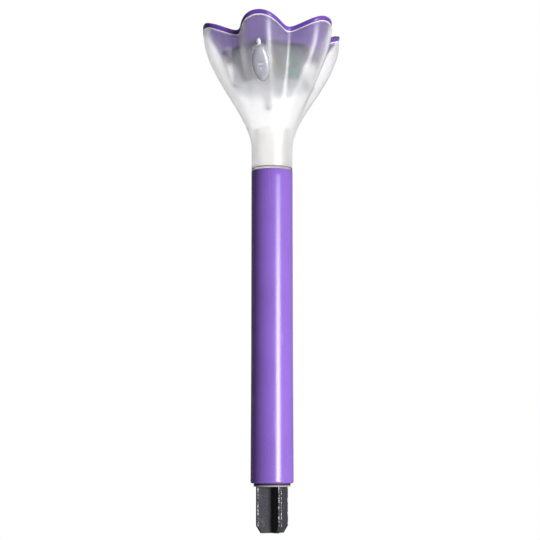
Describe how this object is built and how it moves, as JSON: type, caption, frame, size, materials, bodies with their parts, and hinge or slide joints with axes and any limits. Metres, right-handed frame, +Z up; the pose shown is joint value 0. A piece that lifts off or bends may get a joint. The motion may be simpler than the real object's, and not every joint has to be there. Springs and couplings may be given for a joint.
{
  "type": "tulip garden stake light",
  "caption": "Tulip-headed garden light on a plain tube, its cross-ribbed ground stake stowed in the foot of the tube.",
  "frame": {"origin": "middle of the plug's end face, on the axis of the tube", "axes": "+Z up the tube to the petals, -Y through the crest of the petal with the push button"},
  "size_m": [0.0634, 0.0694, 0.2439],
  "materials": {
    "stake_black": "moulded, scuffed",
    "tube_purple": "extruded, glossy",
    "bush_white": "moulded",
    "petal_clear": "frosted translucent",
    "cap_purple": "moulded, glossy",
    "panel_dark": "printed board",
    "solar_cell": "silicon cell",
    "panel_resin": "clear resin",
    "gasket_rubber": "soft",
    "housing_frost": "frosted",
    "screw_steel": "zinc plated",
    "board_green": "solder mask",
    "chip_black": "moulded",
    "coil_grey": "lacquered",
    "contact_steel": "nickel plated",
    "battery_wrap": "shrink sleeve",
    "led_clear": "clear",
    "button_frost": "frosted translucent",
    "wire_red": "insulated",
    "wire_black": "insulated",
    "wire_yellow": "insulated"
  },
  "bodies": {
    "handle": {"handle_tube": "tube_purple", "neck_bush": "bush_white"},
    "stake": {"ground_stake": "stake_black"},
    "head": {"petal_shell": "petal_clear", "indicator_lens": "led_clear"},
    "cap": {"petal_cap": "cap_purple", "panel_board": "panel_dark", "cell_strips": "solar_cell", "panel_resin": "panel_resin", "housing_gasket": "gasket_rubber", "battery_housing": "housing_frost", "housing_screws": "screw_steel", "circuit_board": "board_green", "driver_chip": "chip_black", "coil_inductor": "coil_grey", "battery_can": "contact_steel", "battery_sleeve": "battery_wrap", "spring_contact": "contact_steel", "plate_contact": "contact_steel", "led_lens": "led_clear", "led_leads": "contact_steel", "switch_body": "chip_black", "switch_board": "board_green", "panel_wire_red": "wire_red", "panel_wire_black": "wire_black", "battery_wires": "wire_red", "switch_wires": "wire_yellow"},
    "button": {"push_button": "button_frost"},
    "plunger": {"switch_plunger": "chip_black"}
  },
  "joints": [
    {"name": "stake_slide", "type": "slide", "parent": "handle", "child": "stake", "axis": [0, 0, -1], "range_m": [0, 0.125]},
    {"name": "head_pull", "type": "slide", "parent": "handle", "child": "head", "axis": [0, 0, 1], "range_m": [0, 0.022]},
    {"name": "cap_lift", "type": "slide", "parent": "head", "child": "cap", "axis": [0, 0, 1], "range_m": [0, 0.04]},
    {"name": "button_press", "type": "slide", "parent": "head", "child": "button", "axis": [0, 0.8672, 0.4979], "range_m": [0, 0.0008], "stiffness_N_per_m": 1200},
    {"name": "plunger_press", "type": "slide", "parent": "cap", "child": "plunger", "axis": [0, 0.8672, 0.4979], "range_m": [0, 0.0008]}
  ],
  "couplings": [
    {"joint": "plunger_press", "follows": "button_press", "ratio": 1}
  ]
}
